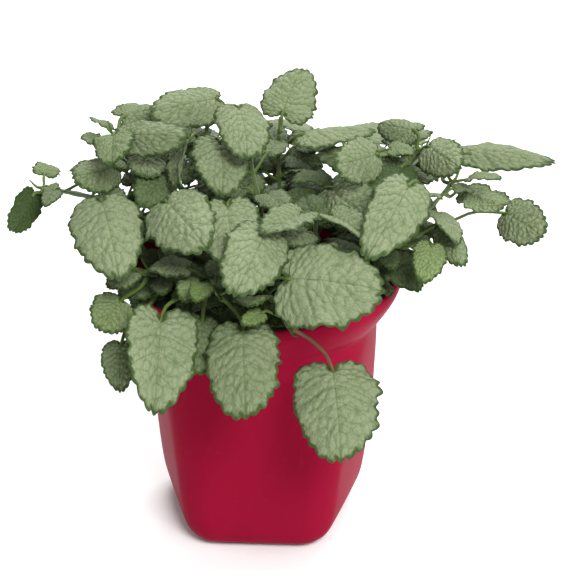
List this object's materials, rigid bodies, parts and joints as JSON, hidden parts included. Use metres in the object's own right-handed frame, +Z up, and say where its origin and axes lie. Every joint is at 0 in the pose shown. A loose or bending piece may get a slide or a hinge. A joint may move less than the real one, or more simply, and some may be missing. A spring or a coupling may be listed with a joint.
{
  "type": "potted dead nettle",
  "caption": "Bushy spotted dead nettle with silver-green heart-shaped leaves, growing in soil in a five-sided plastic pot with a round flared rim.",
  "frame": {"origin": "centre of the pot's flat underside, on the pot's axis", "axes": "+Z up; -Y to the front, where one flat side of the pot and the leaves that hang over its rim are; +X to the right seen from the front"},
  "size_m": [0.2814, 0.2447, 0.2525],
  "materials": {
    "pot": "satin crimson, moulded",
    "soil": "rough dark potting compost",
    "stem": "fresh green, satin",
    "leaf": "matte silver-green with narrow dark green margins"
  },
  "bodies": {
    "root": {"pot": "pot", "soil": "soil", "stem_1": "stem", "stem_2": "stem", "stem_3": "stem", "stem_4": "stem", "stem_5": "stem", "stem_6": "stem", "stem_7": "stem", "stem_8": "stem", "stem_9": "stem", "stem_10": "stem", "stem_11": "stem", "stem_12": "stem", "stem_13": "stem", "stem_14": "stem", "stem_15": "stem", "leaf_1_1": "leaf", "leaf_1_2": "leaf", "leaf_1_3": "leaf", "leaf_2_1": "leaf", "leaf_2_2": "leaf", "leaf_2_3": "leaf", "leaf_3_1": "leaf", "leaf_3_2": "leaf", "leaf_3_3": "leaf", "leaf_3_4": "leaf", "leaf_3_5": "leaf", "leaf_4_1": "leaf", "leaf_4_2": "leaf", "leaf_5_1": "leaf", "leaf_5_2": "leaf", "leaf_6_1": "leaf", "leaf_6_2": "leaf", "leaf_6_3": "leaf", "leaf_7_1": "leaf", "leaf_7_2": "leaf", "leaf_8_1": "leaf", "leaf_8_2": "leaf", "leaf_8_3": "leaf", "leaf_9_1": "leaf", "leaf_9_2": "leaf", "leaf_9_3": "leaf", "leaf_9_4": "leaf", "leaf_9_5": "leaf", "leaf_9_6": "leaf", "leaf_10_1": "leaf", "leaf_10_2": "leaf", "leaf_11_1": "leaf", "leaf_11_2": "leaf", "leaf_11_3": "leaf", "leaf_12_1": "leaf", "leaf_12_2": "leaf", "leaf_13_1": "leaf", "leaf_13_2": "leaf", "leaf_13_3": "leaf", "leaf_14_1": "leaf", "leaf_14_2": "leaf", "leaf_15_1": "leaf", "leaf_15_2": "leaf"}
  },
  "joints": []
}
